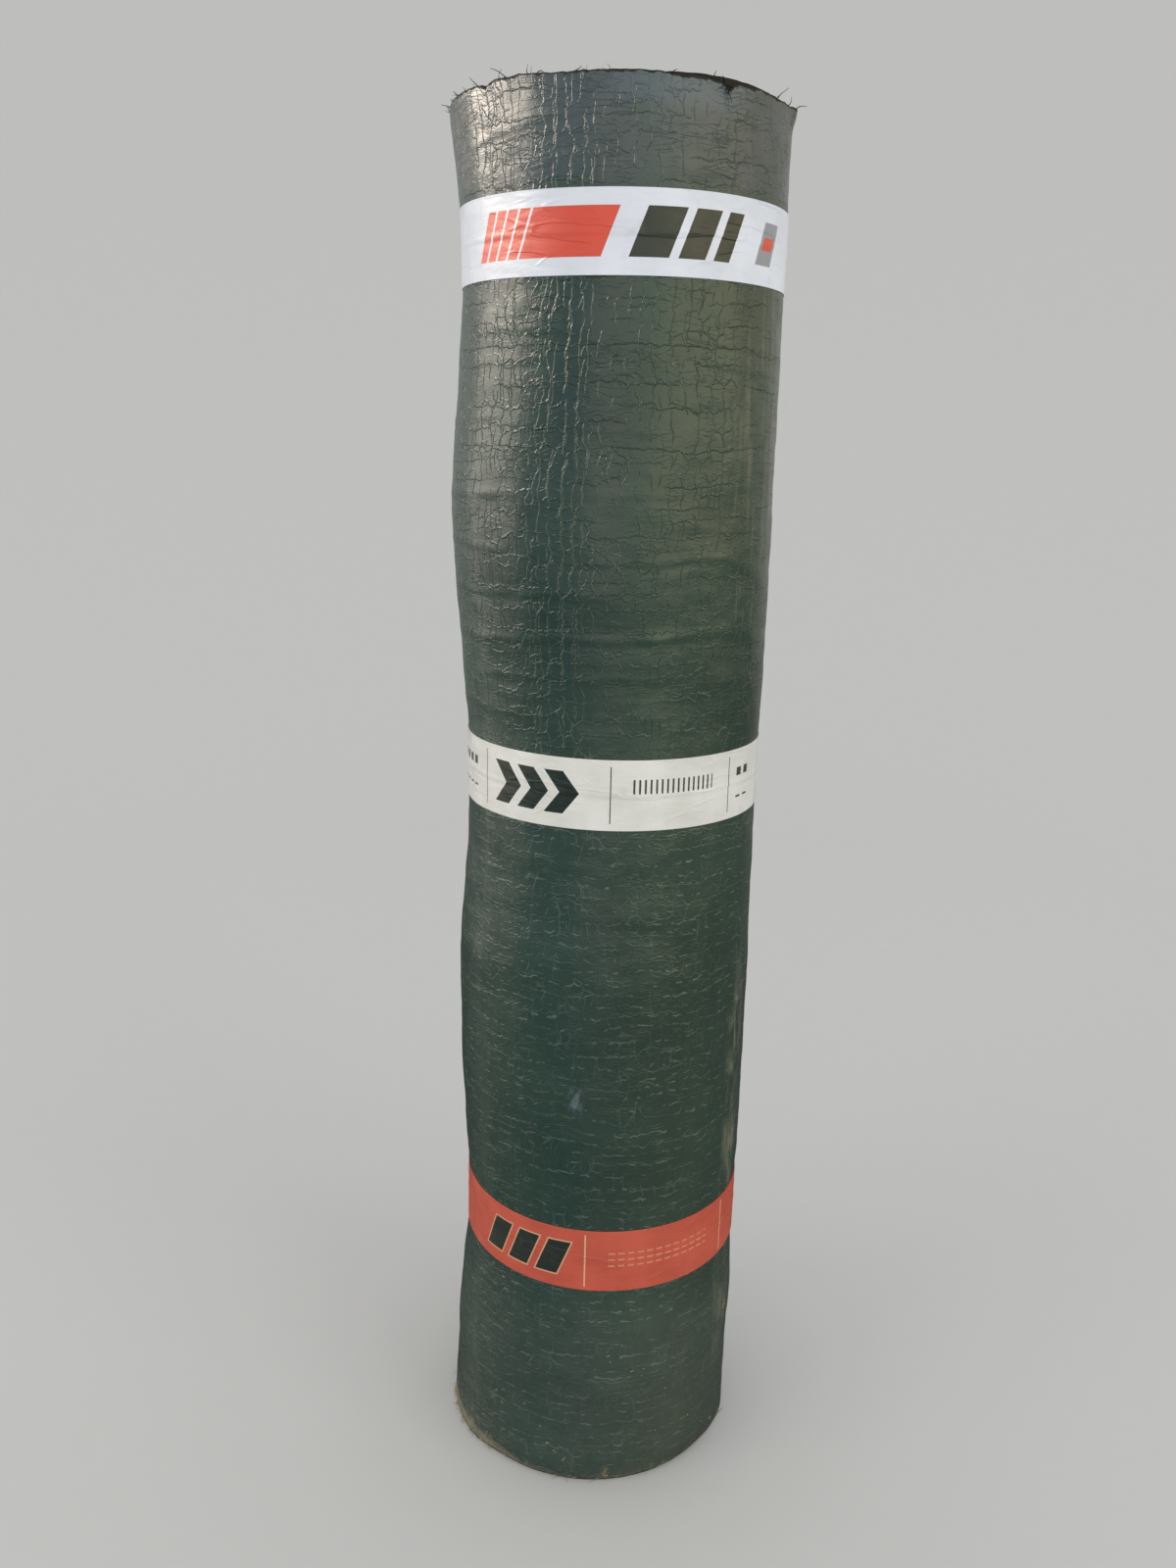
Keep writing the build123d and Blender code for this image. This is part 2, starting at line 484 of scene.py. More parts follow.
def rim_place(degrees, inward, drop):
    """A point on the ragged top rim, or inward of it and some drop below."""
    turned = np.array([(degrees - FREE_END) % 360])
    height = WIDTH + rim_height(turned) - drop
    radius = roll_radius(turned, height) + torn_flap(turned, height) - inward
    return out_and_round(degrees)[0] * float(radius[0]) + Vector((0, 0, float(height[0])))


def rim_frays(bitumen):
    """Torn fibres and film that stand out from the cut edge at the top."""
    random.seed(11)
    short_hairs, tuft = 80, 6
    bunch = []
    for _ in range(short_hairs):
        degrees = random.uniform(0, 360)
        out, along = out_and_round(degrees)
        along *= random.uniform(-1.6, 1.6)
        way = out * random.uniform(-0.3, 0.5) + along + Vector((0, 0, random.uniform(0.1, 0.9)))
        root = rim_place(degrees, random.uniform(0.2, 2.0) * MM, 0.6 * MM)
        hair = stray(root, way, random.uniform(1.5, 4.5) * MM, 0.9)
        bunch.append((hair, random.uniform(0.14, 0.3) * MM))
    for degrees, way, length in LONG_HAIRS:
        root = rim_place(degrees, 0.5 * MM, 0.5 * MM)
        bunch.append((stray(root, way, length * MM, 0.6), 0.36 * MM))
    # At the notch on the right, a tuft and one long thread that hangs down
    for i in range(tuft):
        root = rim_place(300.5 + i * 0.7, -0.3 * MM, 0.2 * MM)
        bunch.append((stray(root, (0.1, -0.5, 0.2 - 0.5 * i), 5 * MM, 1.0), 0.5 * MM))
    root = rim_place(302, -0.6 * MM, 0.4 * MM)
    bunch.append((stray(root, (0.15, -0.15, -1), 11 * MM, 0.25), 0.42 * MM))
    fibres("rim_frays", bunch, bitumen)


def lying_straw():
    """Straw along the foot, most of it on the left, kept clear of the floor and of the film."""
    straws, on_left, piled, steep = 90, 62, 40, 30
    bunch = []
    for i in range(straws):
        degrees = random.gauss(203, 14) if i < on_left else random.uniform(190, 350)
        out, along = out_and_round(degrees)
        turned = np.array([(degrees - FREE_END) % 360])
        height = abs(random.gauss(0, 7 if i < piled else 2.5)) * MM + 0.6 * MM
        level = np.array([height])
        radius = float((roll_radius(turned, level) - foot_tuck(turned, level))[0]) + 0.3 * MM
        way = along * random.uniform(-1.5, 1.5) + out * random.uniform(-0.05, 0.45)
        way += Vector((0, 0, random.uniform(-0.1, 0.7 if i < steep else 0.2)))
        points = stray(out * radius + Vector((0, 0, height)), way, random.uniform(3, 8) * MM, 0.5)
        for p in points:
            p.z = max(p.z, 0.35 * MM)
            sideways = Vector((p.x, p.y, 0))
            p += sideways.normalized() * max(radius - sideways.length, 0)
        bunch.append((points, random.uniform(0.16, 0.3) * MM))
    return bunch


def stuck_straw():
    """Single short bits of straw stuck to the film higher up."""
    bunch = []
    for degrees, height, slant, length in STUCK_BITS:
        turned, level = np.array([degrees - FREE_END]), np.array([height * MM])
        surface = roll_radius(turned, level) + creased(turned, level) - foot_tuck(turned, level)
        out, along = out_and_round(degrees)
        root = out * (float(surface[0]) + 0.25 * MM) + Vector((0, 0, height * MM))
        bunch.append((stray(root, along + Vector((0, 0, slant)), length * MM, 0.12), 0.42 * MM))
    return bunch


def foot_straw(straw):
    """Bits of dry grass caught along the foot and stuck to the film above it."""
    random.seed(29)
    fibres("foot_straw", lying_straw() + stuck_straw(), straw)


# Tapes

def tape_radius(degrees, heights):
    """The line of a tight tape round the roll, straight from the step at the free end."""
    radius = roll_radius((degrees - FREE_END) % 360, heights)
    top_of_step = roll_radius(np.zeros_like(heights), heights)
    short = FREE_END - degrees
    chord = top_of_step * cos(radians(TAPE_BRIDGE)) / np.cos(np.radians(TAPE_BRIDGE - short))
    return np.where((short >= 0) & (short < TAPE_BRIDGE), np.maximum(radius, chord), radius)


def tape_relief(degrees, heights, up, edge, seed):
    """How a tape flutters, curls at its edges and folds along its middle."""
    level = np.zeros_like(up)
    flutter = layered(degrees, heights, (0.12, 50, 160, seed), (0.10, 140, 30, seed + 3))
    curled = np.clip(rough(degrees, heights, 14, 1, seed + 5), 0, 1)
    curl = 0.25 * MM * curled * (np.abs(up) / edge) ** 6
    line = 1.5 * MM * rough(degrees, level, 24, 1, seed + 9)
    fold = hump(up, line, 1.2 * MM) - 0.5 * hump(up, line - 2.2 * MM, 1.4 * MM)
    fold *= np.clip(0.5 + 2.2 * rough(degrees, level, 7, 1, seed + 13), 0, 1)
    return flutter + curl + 0.45 * MM * fold


def tape(name, seat, seed, material, node):
    """One band of tape pulled tight round the roll, with its end lapped over its start."""
    middle, width = seat
    start, end = TAPE_LAP
    edge = width / 2
    columns = np.linspace(start - FREE_END, end + 360 - FREE_END, 376)
    rows = np.linspace(0.9 * MM - edge, edge - 0.9 * MM, 33)
    rows = [-edge, 0.3 * MM - edge, *rows, edge - 0.3 * MM, edge]
    loop = [(0, 1), (-edge, 1)] + [(z, 0) for z in rows] + [(edge, 1), (0, 1)]
    bm, turned, up, inside = wound_sheet(columns, np.array(loop))
    degrees, heights = (turned + FREE_END) % 360, middle + up
    lapped = smoothly(360 + start - 1.5, 360 + start + 0.5, turned + FREE_END)
    relief = tape_relief(degrees, heights, up, edge, seed) + TAPE_THICKNESS
    radius = tape_radius(degrees, heights) + (0.30 + 0.35 * lapped) * MM
    radius += np.where(inside > 0.5, -TAPE_THICKNESS, relief)
    drift = 0.5 * MM * rough(degrees, np.zeros_like(up), 9, 1, seed + 7)
    wind(bm, turned, radius, heights + drift, up + edge)
    for face in bm.faces:
        face.smooth = True
    close_ends(bm)
    finish_piece(name, bm, [material], name, node)


# Materials

class Nodes:
    """A node tree with short ways to add nodes and sums to it."""

    def __init__(self, tree):
        self.tree = tree

    def put(self, socket, value):
        """Links or sets a socket."""
        if isinstance(value, bpy.types.NodeSocket):
            self.tree.links.new(value, socket)
        else:
            socket.default_value = value

    def add(self, kind, inputs=None, **settings):
        """A new shader node with its settings and inputs."""
        node = self.tree.nodes.new("ShaderNode" + kind)
        for key, value in settings.items():
            setattr(node, key, value)
        for key, value in (inputs or {}).items():
            self.put(node.inputs[key], value)
        return node

    def on_object(self):
        """The place in the piece's own frame."""
        return self.add("TexCoord").outputs["Object"]

    def on_sheet(self):
        """The place on the flat sheet or tape, round and up in metres."""
        return self.add("UVMap", uv_map="sheet").outputs["UV"]

    def parts(self, vector):
        """The vector's X, Y and Z."""
        return self.add("SeparateXYZ", {"Vector": vector}).outputs

    def math(self, operation, *values):
        node = self.add("Math", operation=operation)
        for socket, value in zip(node.inputs, values):
            self.put(socket, value)
        return node.outputs[0]

    def chain(self, operation, first, *others):
        for other in others:
            first = self.math(operation, first, other)
        return first

    def times(self, *values):
        return self.chain("MULTIPLY", *values)

    def plus(self, *values):
        return self.chain("ADD", *values)

    def most(self, *values):
        return self.chain("MAXIMUM", *values)

    def minus(self, first, second):
        return self.math("SUBTRACT", first, second)

    def away(self, value, middle):
        """How far the value is from middle."""
        return self.math("ABSOLUTE", self.minus(value, middle))

    def every(self, value, length):
        """The value from 0 to length, again and again."""
        return self.math("FLOORED_MODULO", value, length)

    def under(self, value, limit):
        return self.math("LESS_THAN", value, limit)

    def between(self, value, low, high):
        return self.times(self.math("GREATER_THAN", value, low), self.under(value, high))

    def ramp(self, value, low, high, start=0.0, end=1.0):
        """start below low, end above high, with an even slope between."""
        inputs = {"Value": value, "From Min": low, "From Max": high, "To Min": start, "To Max": end}
        return self.add("MapRange", inputs, interpolation_type="SMOOTHSTEP").outputs["Result"]

    def near(self, value, middle, half, soft):
        """1 within half of middle, fading to 0 over soft."""
        return self.ramp(self.away(value, middle), half, half + soft, 1.0, 0.0)

    def mix(self, share, first, second):
        """The first colour, with a share of it replaced by the second."""
        node = self.add("Mix", data_type="RGBA")
        sockets = node.inputs[0], node.inputs[6], node.inputs[7]
        for socket, value in zip(sockets, (share, first, second)):
            self.put(socket, value)
        return node.outputs[2]

    def noise(self, place, scale, detail=2.0, rough=0.5):
        inputs = {"Vector": place, "Scale": scale, "Detail": detail, "Roughness": rough}
        return self.add("TexNoise", inputs, noise_dimensions="3D").outputs["Fac"]

    def stretched(self, place, around, up, off=0.0, turn=0.0):
        """The place scaled round and up the sheet, moved off by some and turned by some degrees."""
        inputs = {"Vector": place, "Scale": (around, up, 1), "Location": (off, off / 2, 0)}
        inputs["Rotation"] = (0, 0, radians(turn))
        return self.add("Mapping", inputs).outputs["Vector"]

    def cracks(self, place, around, up, width):
        """Lines round cells about 1/around by 1/up metres, and the cells' domes. The width of the
        lines is a share of a cell's."""
        inputs = {"Vector": self.stretched(place, around, up), "Scale": 1.0, "Randomness": 0.7}
        cells = self.add("TexVoronoi", inputs, feature="DISTANCE_TO_EDGE", voronoi_dimensions="2D")
        inward = cells.outputs["Distance"]
        return self.ramp(inward, 0.0, width, 1.0, 0.0), self.math("MINIMUM", inward, 0.4)

    def creases(self, place, width):
        """Thin wandering creases, where a noise crosses its middle."""
        return self.ramp(self.away(self.noise(place, 1.0, 1.0), 0.5), 0.0, width, 1.0, 0.0)

    def lines(self, value, spacing, width):
        """1 on lines about spacing apart, falling to 0 over width of that."""
        inputs = {"W": value, "Scale": 1 / spacing, "Randomness": 0.85}
        rows = self.add("TexVoronoi", inputs, feature="DISTANCE_TO_EDGE", voronoi_dimensions="1D")
        return self.ramp(rows.outputs["Distance"], 0.0, width, 1.0, 0.0)

    def shaken(self, place, scale, reach):
        """The place moved about by noise, by up to about reach."""
        inputs = {"Vector": place, "Scale": scale, "Detail": 1.0}
        inputs = {0: self.add("TexNoise", inputs).outputs["Color"], 1: (0.5, 0.5, 0.5)}
        shift = self.add("VectorMath", inputs, operation="SUBTRACT").outputs[0]
        inputs = {0: shift, 1: (2 * reach, 2 * reach, 0.0), 2: place}
        return self.add("VectorMath", inputs, operation="MULTIPLY_ADD").outputs[0]

    def relief(self, shader, height, strength, distance):
        """Gives the shader fine relief from a height of 0 to 1 over distance."""
        bump = self.add("Bump", {"Height": height, "Strength": strength, "Distance": distance})
        self.put(shader.inputs["Normal"], bump.outputs["Normal"])


def new_material(name):
    """A material with nothing but its shader, and the short ways to add to it."""
    material = bpy.data.materials.new(name)
    material.use_nodes = True
    tree = material.node_tree
    return material, Nodes(tree), tree.nodes["Principled BSDF"]


def colour(*seen):
    """A colour given as it looks, 0 to 255."""
    linear = [((c / 255 + 0.055) / 1.055) ** 2.4 if c > 10 else c / 255 / 12.92 for c in seen]
    return (*linear, 1.0)


def film_places(n):
    """Places on the film, and the same warped so that no line of the crackle is straight."""
    sheet = n.on_sheet()
    around, up, _ = n.parts(sheet)
    warped = n.shaken(n.shaken(sheet, 22.0, 0.005), 110.0, 0.0022)
    kinked = n.shaken(warped, 260.0, 0.0018)
    across = n.parts(n.shaken(warped, 62.0, 0.0042))[0]
    upward = n.parts(kinked)[1]
    return SimpleNamespace(
        sheet=sheet, around=around, up=up, kinked=kinked, across=across, upward=upward
    )


def film_crackle(n, at):
    """Ridges: upright lines and lines across, both broken into stretches, and patches of rounder
    cells. Gives the domes of the cells too."""
    close = n.times(n.near(at.around, *CLOSE_CRACKLE), n.ramp(at.up, 0.56, 0.62))
    stretches = n.plus(n.noise(n.stretched(at.sheet, 110, 44), 1.0, 1.0), n.times(close, 0.08))
    upright = n.times(n.lines(at.across, 0.0076, 0.066), n.ramp(stretches, 0.46, 0.56))
    long_ones = n.most(n.near(at.up, 0.664, 0.004, 0.003), n.near(at.up, 0.846, 0.006, 0.004))
    stretches = n.noise(n.stretched(at.sheet, 24, 75, 7.0), 1.0, 1.0)
    stretches = n.plus(stretches, n.times(long_ones, 0.4), n.times(close, 0.05))
    level = n.times(n.lines(at.upward, 0.0118, 0.046), n.ramp(stretches, 0.46, 0.56))
    cells, domes = n.cracks(at.kinked, 105.0, 70.0, 0.065)
    left_edge = n.times(n.near(at.around, *LEFT_EDGE), n.near(at.up, 0.72, 0.09, 0.06))
    netted = n.plus(n.noise(at.sheet, 26.0, 2.0), n.times(left_edge, 0.16), n.times(close, 0.12))
    cells = n.times(cells, n.ramp(netted, 0.47, 0.57))
    return n.most(upright, level, n.times(cells, 0.85)), domes


def film_wrinkles(n, at):
    """Fine wrinkles: most lie across, and near the top they climb to the right."""
    climbing = n.creases(n.stretched(at.sheet, 34, 150, turn=-17), 0.022)
    climbing = n.times(climbing, n.plus(n.times(n.ramp(at.up, 0.935, 0.95), 0.8), 0.15))
    lying = n.times(n.creases(n.stretched(at.sheet, 70, 190, 3.0), 0.026), 0.5)
    patches = n.ramp(n.noise(at.sheet, 40.0, 2.0), 0.42, 0.56, 0.15, 1.0)
    return n.times(n.most(climbing, lying), patches)


def film_dashes(n, at):
    """Short dashes that lie across, and low down rows of short bowed bits of ridge."""
    dashes = n.ramp(n.noise(n.stretched(at.kinked, 110, 420), 1.0, 1.0), 0.60, 0.72)
    dashes = n.times(dashes, n.ramp(n.noise(at.sheet, 22.0), 0.4, 0.6, 0.2, 1.0))
    dashes = n.times(dashes, n.ramp(at.up, *TO_UPPER_HALF, 0.6, 1.0))
    bits = n.ramp(n.noise(n.stretched(at.kinked, 150, 60, 3.0), 1.0, 1.0), 0.49, 0.57)
    bits = n.times(bits, n.lines(at.upward, 0.0090, 0.075), n.ramp(at.up, 0.60, 0.53))
    return n.most(dashes, bits), bits


def film_scuffs_and_sheen(n, at):
    """Where the film is paler, as (share, colour): by the rim, where it is partly worn and partly
    painted with a reflection and a highlight, at a smear and in haze low down.
    """
    veil = n.ramp(n.noise(at.sheet, 30.0, 4.0), 0.3, 0.7, 0.05, 0.11)
    yield n.times(n.ramp(at.up, *ABOVE_TOP_TAPE), veil), colour(175, 164, 192)
    # A painted reflection of sky: bluish, near the rim on the front right
    sky_reflection = n.times(n.near(at.around, *SKY_REFLECTION_PATCH), n.ramp(at.up, 0.978, 0.99))
    yield n.times(sky_reflection, 0.13), colour(124, 146, 176)
    # Pale warm flecks by the rim on the front left: a painted highlight of the sheen there, partly
    # wear
    wear_and_highlight = n.times(n.near(at.around, *WORN_AND_HIGHLIT_RIM), n.ramp(at.up, 0.932, 0.955))
    flecks = n.noise(n.stretched(at.sheet, 60, 90, 4.0), 1.0, 4.0)
    yield n.times(wear_and_highlight, n.ramp(flecks, 0.3, 0.62, 0.0, 0.22)), colour(168, 156, 140)
    smear = n.times(n.near(at.around, *SMEAR), n.near(at.up, 0.33, 0.003, 0.012))
    smear = n.times(smear, n.ramp(n.noise(n.stretched(at.sheet, 260, 120), 1.0, 3.0), 0.38, 0.6))
    yield n.times(smear, 0.36), colour(142, 158, 168)
    haze = n.ramp(n.noise(at.sheet, 70.0, 6.0, 0.75), 0.3, 0.7, 0.05, 0.10)
    yield n.times(n.ramp(at.up, 0.19, 0.12), haze), colour(158, 156, 148)


def film_dust(n, at):
    """How much dust there is: at the foot, most on the left, and up the right side."""
    left = n.near(at.around, *FOOT_LEFT)
    low = n.times(left, n.ramp(at.up, 0.0, 0.075, 0.21, 0.0))
    low = n.plus(n.ramp(at.up, 0.0, 0.016, 0.24, 0.0), low)
    foot = n.plus(n.noise(n.stretched(at.sheet, 130, 220), 1.0, 8.0, 0.8), low)
    foot = n.times(n.ramp(foot, 0.64, 0.92), 0.66)
    streaks = n.ramp(n.noise(n.stretched(at.sheet, 160, 12), 1.0, 4.0, 0.65), 0.5, 0.72)
    cloud = n.ramp(n.noise(n.stretched(at.sheet, 50, 26, 9.0), 1.0, 5.0, 0.6), 0.42, 0.7)
    side = n.times(n.near(at.around, *RIGHT_EDGE), n.near(at.up, 0.25, 0.12, 0.08))
    side = n.times(side, n.most(streaks, cloud), 0.5)
    upper_side = n.times(n.near(at.around, *UPPER_RIGHT), n.near(at.up, 0.78, 0.07, 0.1))
    return n.most(foot, side, n.times(upper_side, streaks, 0.3))


def crazed_film():
    """Dark green-black film, shrunk on to the felt: crackle, wrinkles, scuffs and dirt, with
    glints, a reflection and a highlight painted on.
    """
    material, n, shader = new_material("crazed_film")
    at = film_places(n)
    ridges, domes = film_crackle(n, at)
    dashes, bits = film_dashes(n, at)
    puckers = n.noise(n.stretched(at.kinked, 90, 200), 1.0, 2.0)
    grain = n.noise(at.sheet, 900.0, 3.0, 0.6)
    height = n.plus(
        n.times(ridges, n.ramp(at.up, *TO_UPPER_HALF, 0.45, 1.0)),
        n.times(dashes, 0.45),
        n.times(puckers, 0.45),
        n.times(domes, 0.4),
        n.times(film_wrinkles(n, at), 0.55),
        n.times(grain, 0.07),
    )
    n.relief(shader, height, 1.0, 0.36 * MM)

    # Green-black, paler on the ridges where they are rubbed and where glints are painted on them,
    # then scuffed and dusty, with a painted reflection and highlight by the rim and a tan patch low
    # down
    mottled = n.ramp(n.noise(at.sheet, 9.0, 4.0), 0.3, 0.7)
    body = n.mix(mottled, colour(40, 62, 54), colour(51, 73, 63))
    # Paler ridges and dashes, more so low down: partly rubbed film, partly painted glints of light
    # on the ridges
    rubbed = n.times(n.most(ridges, dashes), n.ramp(n.noise(at.sheet, 60.0, 3.0), 0.4, 0.7))
    rubbed = n.times(rubbed, n.ramp(at.up, *TO_UPPER_HALF, 0.34, 0.24))
    body = n.mix(rubbed, body, colour(124, 138, 126))
    # Pale rows of short bowed bits of ridge low down: painted glints on the ridges, partly dust
    # caught on them
    bits = n.times(bits, n.ramp(n.noise(at.sheet, 35.0, 2.0), 0.35, 0.65, 0.15, 0.42))
    body = n.mix(bits, body, colour(122, 146, 132))
    for share, tint in film_scuffs_and_sheen(n, at):
        body = n.mix(share, body, tint)
    dust = film_dust(n, at)
    body = n.mix(dust, body, colour(158, 151, 128))
    patch = n.times(n.near(at.around, *TAN_PATCH), n.near(at.up, 0.008, 0.003, 0.007))
    patch = n.times(patch, n.ramp(n.noise(n.stretched(at.sheet, 420, 200), 1.0, 3.0), 0.36, 0.6))
    body = n.mix(n.times(patch, 0.6), body, colour(144, 134, 104))

    # The film is torn back a little from both cut edges, and the felt shows
    torn = n.plus(n.away(at.up, WIDTH / 2), n.times(n.noise(at.sheet, 260.0, 4.0), 4 * MM))
    torn = n.ramp(torn, WIDTH / 2, WIDTH / 2 + 0.8 * MM)
    n.put(shader.inputs["Base Color"], n.mix(torn, body, colour(38, 38, 34)))
    gloss = n.ramp(n.noise(at.sheet, 45.0, 4.0, 0.6), 0.3, 0.7, 0.20, 0.30)
    n.put(shader.inputs["Roughness"], n.most(gloss, n.times(dust, 0.9), n.times(torn, 0.85)))
    shader.inputs["Specular IOR Level"].default_value = 0.5
    return material


def cut_bitumen():
    """The cut edge of the felt: matt black and dusty, with its inner mat as a pale broken line."""
    material, n, shader = new_material("cut_bitumen")
    place = n.on_object()
    over_edge = n.away(n.parts(n.on_sheet())[1], WIDTH / 2)
    depth = n.plus(over_edge, -WIDTH / 2, n.times(n.noise(place, 300.0, 3.0), 0.8 * MM))
    mat = n.near(depth, THICKNESS / 2 + 0.4 * MM, 0.12 * MM, 0.3 * MM)
    mat = n.times(mat, n.ramp(n.noise(place, 420.0, 4.0, 0.7), 0.42, 0.58))
    hairs = n.ramp(n.noise(place, 1400.0, 3.0, 0.7), 0.58, 0.78)
    talc = n.ramp(n.noise(place, 60.0, 5.0, 0.6), 0.45, 0.75)
    body = n.mix(n.noise(place, 220.0, 4.0), colour(17, 18, 17), colour(36, 36, 34))
    body = n.mix(n.times(hairs, 0.25), body, colour(104, 101, 92))
    body = n.mix(n.times(talc, 0.14), body, colour(92, 92, 88))
    body = n.mix(n.times(mat, 0.55), body, colour(146, 139, 122))
    n.put(shader.inputs["Base Color"], body)
    n.put(shader.inputs["Roughness"], n.ramp(talc, 0, 1, 0.7, 0.92))
    shader.inputs["Specular IOR Level"].default_value = 0.3
    n.relief(shader, n.noise(place, 500.0, 5.0, 0.65), 0.8, 1.2 * MM)
    return material


def talc_face():
    """The inner face of the felt: black, dusted grey with talc so that the turns don't stick."""
    material, n, shader = new_material("talc_face")
    place = n.on_object()
    rubbed = n.ramp(n.noise(place, 25.0, 5.0, 0.6), 0.35, 0.7)
    specks = n.ramp(n.noise(place, 900.0, 2.0), 0.5, 0.7)
    body = n.mix(rubbed, colour(84, 83, 79), colour(48, 48, 46))
    n.put(shader.inputs["Base Color"], n.mix(n.times(specks, 0.4), body, colour(34, 35, 33)))
    n.put(shader.inputs["Roughness"], n.ramp(rubbed, 0, 1, 0.95, 0.75))
    n.relief(shader, n.noise(place, 700.0, 4.0), 0.6, 0.8 * MM)
    return material


def dry_straw():
    """Weathered dry grass."""
    material, n, shader = new_material("dry_straw")
    place = n.on_object()
    body = n.mix(n.noise(place, 180.0, 3.0), colour(196, 184, 150), colour(128, 116, 84))
    n.put(shader.inputs["Base Color"], body)
    n.put(shader.inputs["Roughness"], n.ramp(n.noise(place, 300.0), 0.3, 0.7, 0.6, 0.85))
    n.relief(shader, n.noise(place, 2500.0, 2.0), 0.5, 0.2 * MM)
    return material


def tape_material(name, paint, ground, shade):
    """Printed tape film: paint gives the inks, which repeat twice round, over a shaded ground."""
    material, n, shader = new_material(name)
    place = n.on_sheet()
    around, up, _ = n.parts(place)
    body = n.mix(n.ramp(n.noise(place, 30.0, 4.0), 0.3, 0.7), ground, shade)
    for share, ink in paint(n, n.every(around, pi * MEAN_RADIUS), up):
        body = n.mix(share, body, ink)
    grime = n.ramp(n.noise(place, 55.0, 5.0, 0.7), 0.55, 0.8)
    body = n.mix(n.times(grime, 0.22), body, colour(120, 112, 98))
    n.put(shader.inputs["Base Color"], body)
    n.put(shader.inputs["Roughness"], n.ramp(n.noise(place, 80.0, 3.0), 0.3, 0.7, 0.28, 0.42))
    wrinkles = n.noise(n.stretched(n.shaken(place, 60.0, 0.003), 45, 130), 1.0, 2.0)
    fine = n.times(n.noise(n.stretched(place, 260, 420), 1.0, 2.0), 0.15)
    pulls = n.creases(n.stretched(n.shaken(place, 40.0, 0.003), 14, 70, 2.0), 0.03)
    patches = n.ramp(n.noise(n.stretched(place, 20, 40, 5.0), 1.0, 1.0), 0.42, 0.6)
    n.relief(shader, n.plus(wrinkles, fine, n.times(pulls, patches, 0.45)), 1.0, 0.5 * MM)
    return material


def top_print(n, along, up):
    """An orange-red field with pale slanting stripes, dark slanting bars and a small grey block."""
    slant = n.minus(along, n.times(up, 0.4))
    tall = n.between(up, 0.0105, 0.0395)
    gaps = n.times(n.under(n.every(slant, 0.0098), 0.0018), n.under(slant, 0.150))
    field = n.times(n.between(slant, 0.110, 0.205), tall)
    yield n.times(field, n.minus(1.0, gaps)), colour(226, 84, 62)
    for low, high in ((0.222, 0.247), (0.253, 0.271), (0.277, 0.289)):
        yield n.times(n.between(slant, low, high), tall), colour(32, 44, 40)
    block = n.times(n.between(slant, 0.312, 0.330), n.between(up, 0.012, 0.038))
    yield block, colour(150, 154, 158)
    spot = n.times(n.between(slant, 0.315, 0.327), n.between(up, 0.021, 0.029))
    yield spot, colour(222, 82, 60)


def middle_print(n, along, up):
    """Dark chevrons, thin dividing lines, a row of tick marks and short dashes."""
    bent = n.plus(along, n.times(n.away(up, 0.025), 0.8))
    for low in (0.142, 0.165, 0.188):
        chevron = n.times(n.between(bent, low, low + 0.0145), n.between(up, 0.010, 0.040))
        yield chevron, colour(34, 46, 38)
    for low in (0.118, 0.224, 0.318):
        line = n.times(n.between(along, low, low + 0.0008), n.between(up, 0.005, 0.045))
        yield line, colour(60, 62, 58)
    ticks = n.times(n.under(n.every(along, 0.004), 0.0014), n.between(along, 0.240, 0.301))
    yield n.times(ticks, n.between(up, 0.026, 0.036)), colour(48, 50, 47)
    for low in (0.066, 0.076, 0.086, 0.096, 0.328, 0.338):
        for bottom, top in ((0.030, 0.036), (0.014, 0.0155)):
            dash = n.times(n.between(along, low, low + 0.006), n.between(up, bottom, top))
            yield dash, colour(70, 72, 68)


def bottom_print(n, along, up):
    """Dark slanting bars with a pale edge, a pale dividing line and rows of short pale dashes."""
    slant = n.minus(along, n.times(up, 0.4))
    for low in (0.118, 0.144, 0.170):
        edge = n.times(n.between(slant, low - 0.0012, low + 0.0192), n.between(up, 0.0098, 0.0402))
        yield edge, colour(228, 172, 132)
        bar = n.times(n.between(slant, low, low + 0.018), n.between(up, 0.011, 0.039))
        yield bar, colour(44, 52, 46)
    for low in (0.214, 0.338):
        line = n.times(n.between(along, low, low + 0.0012), n.between(up, 0.003, 0.047))
        yield line, colour(235, 182, 144)
    dashes = n.times(n.under(n.every(along, 0.0075), 0.0050), n.under(n.every(up, 0.0052), 0.0013))
    dashes = n.times(dashes, n.between(along, 0.232, 0.318), n.between(up, 0.018, 0.036))
    yield dashes, colour(230, 146, 112)


# Stage, light and camera

def plain_material(name, tint):
    """Pale, very faintly mottled paper for the floor and the wall."""
    material, n, shader = new_material(name)
    darker = tuple(c * 0.98 for c in tint[:3]) + (1.0,)
    n.put(shader.inputs["Base Color"], n.mix(n.noise(n.on_object(), 40.0, 3.0), darker, tint))
    shader.inputs["Roughness"].default_value = 0.9
    shader.inputs["Specular IOR Level"].default_value = 0.1
    return material


def turned_stage(name, outline_points, material):
    """A stage surface turned round the roll's axis."""
    bm = bmesh.new()
    verts = [bm.verts.new((r, 0, z)) for r, z in outline_points]
    edges = [bm.edges.new(pair) for pair in zip(verts, verts[1:])]
    around_axis = {"cent": (0, 0, 0), "axis": (0, 0, 1), "angle": 2 * pi}
    bmesh.ops.spin(bm, geom=verts + edges, steps=128, use_merge=True, **around_axis)
    bmesh.ops.remove_doubles(bm, verts=bm.verts, dist=1e-5)
    for face in bm.faces:
        face.smooth = True
    mesh = bpy.data.meshes.new(name)
    bm.to_mesh(mesh)
    bm.free()
    mesh.materials.append(material)
    stage = bpy.data.objects.new(name, mesh)
    bpy.context.scene.collection.objects.link(stage)
    return stage


